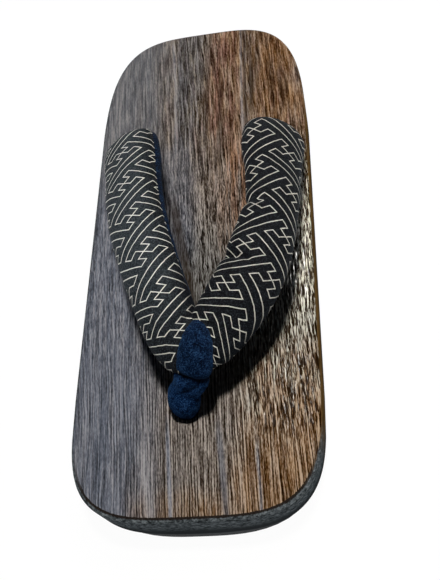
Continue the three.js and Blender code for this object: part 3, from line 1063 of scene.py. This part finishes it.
def fret_place(cloth, s, t):
    """Place in the fret, in cells across and along, of a point of the strap."""
    crosses = np.array(cloth["crosses"])
    cells = np.arange(len(crosses)) * float(REPEAT)
    along = np.interp(s, crosses[:, 0], cells) + cloth["first"][1]
    # Beyond the table the fret keeps the pace of its last repeat
    along += REPEAT * np.minimum(s - crosses[0, 0], 0) / (crosses[1, 0] - crosses[0, 0])
    along += REPEAT * np.maximum(s - crosses[-1, 0], 0) / (crosses[-1, 0] - crosses[-2, 0])
    # Towards the V the cloth is pulled round on the strap's outer flank
    pull, flank, start, end = cloth["swirl"]
    beyond = np.maximum((t - flank) * np.sign(pull), 0)
    along -= abs(pull) * beyond * smooth(start, end, s)
    across = (t - np.interp(s, crosses[:, 0], crosses[:, 1])) / cloth["cell"] + cloth["first"][0]
    return np.stack([across, along], 1)


def strap_sheen_and_shade(name, s, t):
    """Shares of the cloth with painted sheen, and with painted shade next to the V."""
    if name == "inner":
        # Painted sheen: the inner strap is lighter away from the V, and the outer strap near its hole
        painted_sheen = (1 - smooth(85, 150, s)) * (1 - smooth(4, 16, t))
        return painted_sheen, smooth(100, 110, s) * smooth(10, 15, t)
    painted_sheen = 0.3 * (1 - smooth(0, 40, s))
    # Painted shade on the outer strap's flank and end at the V
    painted_cloth_shade = smooth(92, 122, s) * smooth(7, 17, t)
    return painted_sheen, np.maximum(painted_cloth_shade, smooth(106, 114, s) * (1 - smooth(-17, -12, t)))


def make_straps():
    points, faces, fret, lining, painted_sheen, painted_cloth_shade = [], [], [], [], [], []
    start = 0
    for name, rows, seed in (("inner", INNER_STRAP, 11), ("outer", OUTER_STRAP, 12)):
        pad = Pad(rows, STRAP_STEP, STRAP_SIDES, UNDERSIDE)
        s, t = pad.s, pad.t
        swell = 0.5 * (noise(s / 13, t / 11 + 40, seed) - 0.5)
        swell += 0.25 * (noise(s / 5, t / 6 + 40, seed + 5) - 0.5)
        gather = np.cos(pad.turn * 15 + 1.5 * np.sin(pad.turn * 4 + seed))[None, :]
        near_hole = smooth(-1, 2, s) * (1 - smooth(3, 17, s))
        swell = swell * smooth(0, 8, s) + 0.45 * gather * near_hole
        for s0, t0, s1, t1, depth, half in CREASES[name]:
            swell -= depth * np.exp(-((distance_to(s, t, s0, t0, s1, t1) / half) ** 2))
        edge = np.array(LINING[name], float)
        low = np.interp(s, edge[:, 0], edge[:, 1])
        high = np.interp(s, edge[:, 0], edge[:, 2])
        inside = np.maximum(low - t, t - high)
        seam_depth, seam_half = LINING_SEAM
        swell -= seam_depth * np.exp(-((inside / seam_half) ** 2)) * smooth(0, 6, s)
        pad.push(swell)
        p, f, corners = pad.mesh(start)
        start += len(p)
        points.append(p)
        faces += f
        i, k = corners[:, 0], corners[:, 1]
        fret.append(fret_place(FRET[name], s[i, k], t[i, k]))
        for store, values in zip((lining, painted_sheen, painted_cloth_shade), (inside, *strap_sheen_and_shade(name, s, t))):
            store.append(values[:, : pad.sides].ravel())
    straps = make_object("strap_cloth", to_world(np.concatenate(points)), faces)
    mesh = straps.data
    layer = mesh.uv_layers.new(name="fret")
    layer.data.foreach_set("uv", np.concatenate(fret).astype(np.float32).ravel())
    give(mesh, "lining", np.concatenate(lining))
    give(mesh, "painted_sheen", np.concatenate(painted_sheen))
    give(mesh, "painted_cloth_shade", np.concatenate(painted_cloth_shade))
    mesh.materials.append(strap_material())
    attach(straps, "root")
    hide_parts("padded_straps")


# Half the width of a fret line, and how soft its edge is, in cells of the fret
LINE_HALF, LINE_SOFT = 0.054, 0.035


def fret_lines(n, i, j, fray):
    """Lines of the sayagata fret that run along j, one cell apart in i. 1 on a line.

    Each block of five lines is shifted by five cells, half a repeat, against the next.
    """
    column = (i + 0.5).apply("FLOOR")
    block = (column / 5.0).apply("FLOOR")
    inside = (column - block * 5.0 - 2.5).apply("ABSOLUTE")
    shifted = (j + block * 5.0 + 2.5).apply("FLOORED_MODULO", 10.0) - 2.5
    middle = (shifted - 2.5).apply("ABSOLUTE")
    away = (i - column).apply("ABSOLUTE") + fray
    on = 1 - n.step(LINE_HALF - LINE_SOFT, LINE_HALF + LINE_SOFT, away)
    reach = middle < 3.5 + LINE_HALF
    teeth = ((shifted + 1.0 + LINE_HALF) / 2.0).apply("FRACT") < 0.5 + LINE_HALF
    long = inside < 1.0
    side = (inside > 1.0) * (inside < 2.0) * teeth
    arms = (inside > 2.0) * (middle > 1.5 - LINE_HALF)
    return on * reach * n.math("MINIMUM", long + side + arms, 1.0)


def velvet_colour(n):
    speck = n.noise(n.place(), 1.7, 3.0, 0.7)
    cloud = n.noise(n.place(), 0.35, 2.0, 0.5)
    pile = speck * 0.75 + cloud * 0.25
    colour = n.ramp(
        pile,
        (0.38, (0.0002, 0.0013, 0.005)),
        (0.50, (0.0013, 0.0078, 0.027)),
        (0.62, (0.0140, 0.0420, 0.105)),
    )
    return colour, pile


def strap_material():
    n = Nodes("strap_cotton")
    across, along, _ = n.split(n.node("ShaderNodeUVMap", uv_map="fret").outputs[0])
    wobble = n.noise(n.place(), 0.5, 1.0, 0.5) - 0.5
    i = (across - along) * 0.5 + wobble * 0.10
    j = (across + along) * 0.5 - wobble * 0.10
    thread = n.noise(n.place(), 2.0, 2.0, 0.65)
    fray = (thread - 0.5) * 0.10
    lines = n.most(fret_lines(n, i, j, fray), fret_lines(n, j, 0 - i, fray))
    twill = ((across * 2.85 + along * 1.9) * 9.0).apply("SINE") * 0.5 + 0.5
    speck = n.noise(n.place(), 1.35, 3.0, 0.75)
    weave = twill * 0.25 + n.step(0.34, 0.66, thread) * 0.35 + n.step(0.36, 0.64, speck) * 0.40
    sheen_ground = n.ramp(
        weave,
        (0.15, (0.0080, 0.0112, 0.0140)),
        (0.50, (0.0240, 0.0305, 0.0365)),
        (0.85, (0.0640, 0.0765, 0.0860)),
    )
    deep = n.ramp(
        weave,
        (0.15, (0.0007, 0.0009, 0.0014)),
        (0.50, (0.0030, 0.0038, 0.0052)),
        (0.85, (0.0210, 0.0245, 0.0300)),
    )
    # Painted sheen: the cloth is lighter and its lines paler where the sheen is painted
    painted_sheen = n.attribute("painted_sheen")
    ground = n.mix(painted_sheen, deep, sheen_ground)
    cream = n.ramp(
        thread,
        (0.32, (0.28, 0.28, 0.25)),
        (0.50, (0.63, 0.62, 0.55)),
        (0.68, (0.90, 0.89, 0.81)),
    )
    cream = n.mix(painted_sheen, cream, n.mix(0.50, cream, (0.95, 0.97, 0.94)))
    cotton = n.mix(lines, ground, cream)
    # Painted shade: the cloth is darkened next to the V
    cotton = n.mix(n.attribute("painted_cloth_shade") * 0.82, cotton, (0.002, 0.003, 0.006))
    velvet, pile = velvet_colour(n)
    velvet = n.tint(1.0, velvet, (0.6, 0.6, 0.6))
    lining = n.step(-0.15, 0.15, n.attribute("lining"))
    colour = n.mix(lining, cotton, velvet)
    height = weave * 0.5 + lines * 0.35 + pile * lining
    return n.set(
        Base_Color=colour,
        Roughness=0.85,
        Specular_IOR_Level=0.02,
        Sheen_Weight=0.03,
        Sheen_Roughness=0.45,
        Sheen_Tint=(0.75, 0.85, 1.0),
        Normal=n.bump(height, 0.25, 0.6),
    )


THONG_CREASES = [
    # s and t of its two ends, depth, half width. The front of the thong is where t is 19 or -19
    (22.5, -8, 26, -20, 1.6, 1.4),
    (26, 20, 27, 7, 1.6, 1.4),
    (25.5, 14, 15, 20, 0.8, 1.2),
]


def make_thong():
    pad = Pad(THONG, THONG_STEP, THONG_SIDES, 1)
    s, t = pad.s, pad.t
    swell = 0.5 * (noise(s / 6, t / 6 + 40, 31) - 0.5)
    swell += 0.25 * (noise(s / 1.2, t / 1.2 + 40, 32) - 0.5)
    gather = np.cos(pad.turn * 9 + np.sin(pad.turn * 3))[None, :]
    swell = swell * smooth(0, 4, s) + 0.25 * gather * smooth(-1, 1, s) * (1 - smooth(1, 6, s))
    crease_shade = np.zeros_like(s)
    for s0, t0, s1, t1, depth, half in THONG_CREASES:
        near = np.exp(-((distance_to(s, t, s0, t0, s1, t1) / half) ** 2))
        swell -= depth * near
        crease_shade = np.maximum(crease_shade, near * min(depth, 1))
    swell -= smooth(38, 47, s)
    pad.push(swell)
    points, faces, _ = pad.mesh()
    thong = make_object("thong_cloth", to_world(points), faces)
    # Share of painted shade in each crease, for the velvet's colour
    give(thong.data, "crease_shade", crease_shade[:, : pad.sides].ravel())
    # Painted light: the lower lobe, in shade, is lightened
    give(thong.data, "low", (1 - smooth(20, 27, s))[:, : pad.sides].ravel())
    thong.data.materials.append(thong_material())
    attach(thong, "root")
    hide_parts("toe_thong")


def thong_material():
    n = Nodes("thong_velvet")
    colour, pile = velvet_colour(n)
    # Painted light: the lower lobe of the thong is lightened
    colour = n.tint(n.attribute("low"), colour, (1.7, 1.8, 1.9))
    # Painted shade in the creases of the thong
    colour = n.mix(n.attribute("crease_shade") * 0.8, colour, (0.0005, 0.0015, 0.005))
    return n.set(
        Base_Color=colour,
        Roughness=0.95,
        Specular_IOR_Level=0.02,
        Sheen_Weight=0.07,
        Sheen_Roughness=0.35,
        Sheen_Tint=(0.15, 0.45, 1.0),
        Normal=n.bump(pile, 0.5, 0.8),
    )


SOLE_EDGE = 0.6  # width of the soft edge


def rubber_material():
    n = Nodes("sole_rubber")
    grit = n.noise(n.place(), 1.8, 3.0, 0.6)
    dust = n.noise(n.place(), 0.09, 3.0, 0.6)
    colour = n.ramp(
        grit * 0.5 + dust * 0.5,
        (0.3, (0.013, 0.0145, 0.016)),
        (0.7, (0.064, 0.072, 0.080)),
    )
    x, y, z = n.split(n.place())
    rib = ((y + (x * 0.52).apply("SINE") * 1.2) * 1.05).apply("SINE")
    under = 1 - n.step(0.1, 0.6, z)
    height = grit * 0.15 + n.step(-0.3, 0.3, rib) * under
    return n.set(
        Base_Color=colour,
        Roughness=0.62 + 0.25 * dust,
        Specular_IOR_Level=0.15,
        Normal=n.bump(height, 0.8, 0.7),
    )


def make_soles():
    rubber = rubber_material()
    for name in ("forefoot_sole", "heel_sole"):
        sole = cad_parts[name]
        sole.data.materials.clear()
        sole.data.materials.append(rubber)
        bevel = sole.modifiers.new("edge", "BEVEL")
        bevel.width = SOLE_EDGE / 1000
        bevel.segments = 2
        bevel.limit_method = "ANGLE"
        bevel.angle_limit = math.radians(50)


FLOOR_REACH = 4000


def make_floor():
    n = Nodes("floor")
    cloud = n.noise(n.place((0.004, 0.004, 0.004)), 1.0, 2.0, 0.5)
    n.set(
        Base_Color=n.ramp(cloud, (0.3, (0.020, 0.020, 0.020)), (0.7, (0.024, 0.024, 0.024))),
        Roughness=0.9,
        Specular_IOR_Level=0.1,
        Emission_Color=(1.0, 1.0, 1.0),
        Emission_Strength=0.97,
    )
    far = FLOOR_REACH
    corners = [(-far, -far, 0), (far, -far, 0), (far, far, 0), (-far, far, 0)]
    floor = make_object("floor", corners, [[0, 1, 2, 3]])
    floor.data.materials.append(n.material)


make_camera()
make_light()
make_floor()
make_board()
make_soles()
make_straps()
make_thong()
